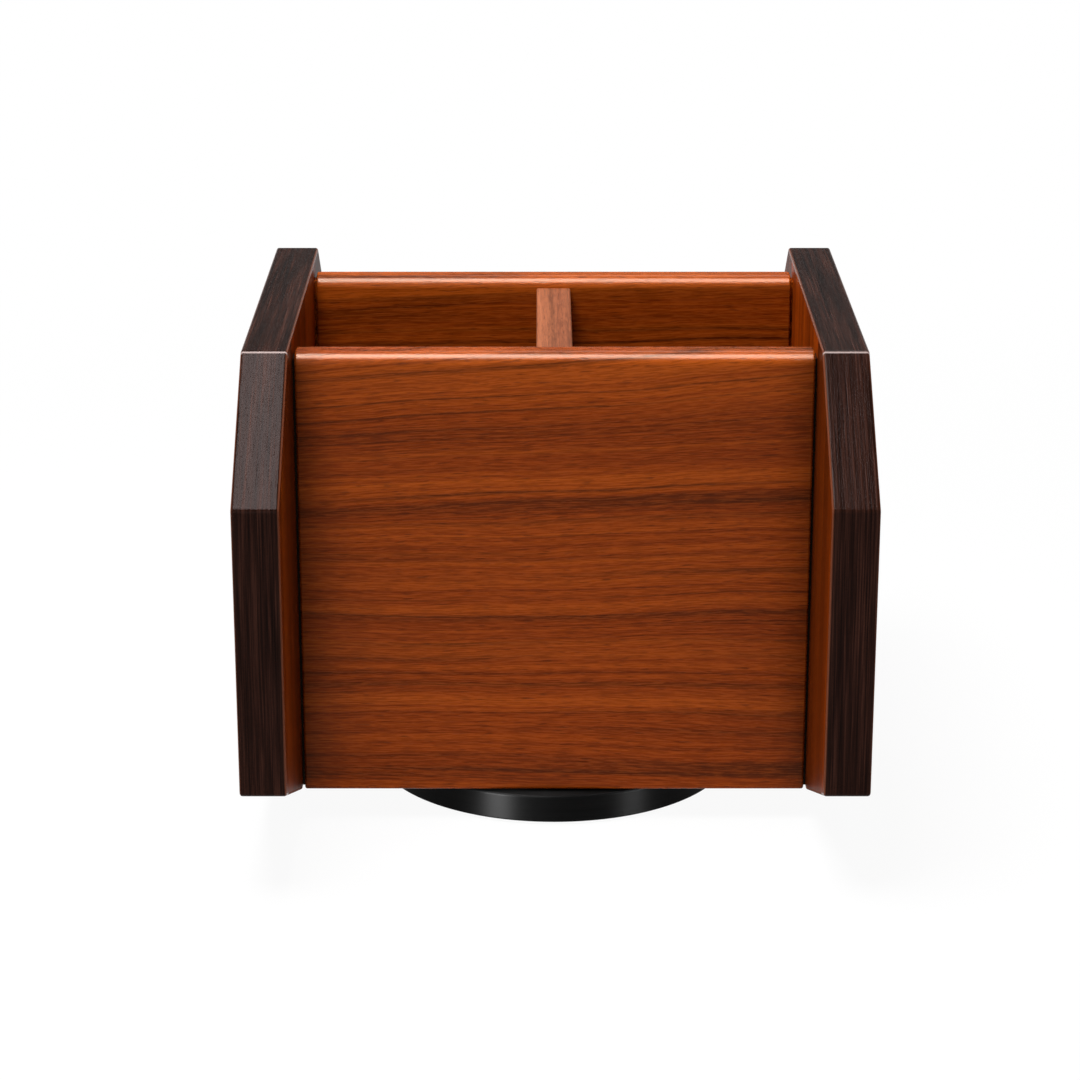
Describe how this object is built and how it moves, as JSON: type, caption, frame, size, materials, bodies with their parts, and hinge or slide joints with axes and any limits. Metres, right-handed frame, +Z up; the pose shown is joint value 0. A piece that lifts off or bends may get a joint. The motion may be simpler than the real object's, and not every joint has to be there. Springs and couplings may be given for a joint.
{
  "type": "rotating desk organizer caddy",
  "caption": "Open-topped wooden desk caddy with a divided box between octagonal side boards, on a round turntable base.",
  "frame": {"origin": "on the desk, under the turntable's axis", "axes": "+Z up, the front panel faces -Y, +X to the right seen from the front"},
  "size_m": [0.2, 0.24, 0.168],
  "materials": {
    "panel_wood": "satin lacquered reddish veneer",
    "dark_edge": "dark stained edge band, satin",
    "pale_wood": "satin lacquered lighter wood",
    "board_core": "raw fibreboard",
    "dowel_wood": "raw beech",
    "black_plastic": "satin black",
    "cage_plastic": "natural",
    "steel": "bright",
    "rubber": "matte"
  },
  "bodies": {
    "base": {"base_disc": "black_plastic", "rubber_feet": "rubber", "pivot_bolt": "steel", "pivot_washer": "steel", "lock_nut": "steel"},
    "caddy": {"centre_divider": "pale_wood", "divider_dowels": "dowel_wood", "floor_board": "panel_wood", "floor_dowels": "dowel_wood", "front_panel": "panel_wood", "front_panel_dowels": "dowel_wood", "left_side_core": "board_core", "left_side_edge_bands": "dark_edge", "left_side_inner_veneer": "panel_wood", "left_side_outer_veneer": "panel_wood", "rear_panel": "panel_wood", "rear_panel_dowels": "dowel_wood", "right_side_core": "board_core", "right_side_edge_bands": "dark_edge", "right_side_inner_veneer": "panel_wood", "right_side_outer_veneer": "panel_wood", "swivel_plate": "black_plastic", "swivel_screws": "steel"},
    "bearing": {"ball_cage": "cage_plastic", "bearing_balls": "steel"}
  },
  "joints": [
    {"name": "caddy_turn", "type": "hinge", "parent": "base", "child": "caddy", "pos_m": [0, 0, 0.01], "axis": [0, 0, 1], "continuous": true},
    {"name": "bearing_turn", "type": "hinge", "parent": "base", "child": "bearing", "pos_m": [0, 0, 0.01], "axis": [0, 0, 1], "continuous": true}
  ],
  "couplings": [
    {"joint": "bearing_turn", "follows": "caddy_turn", "ratio": 0.5}
  ]
}
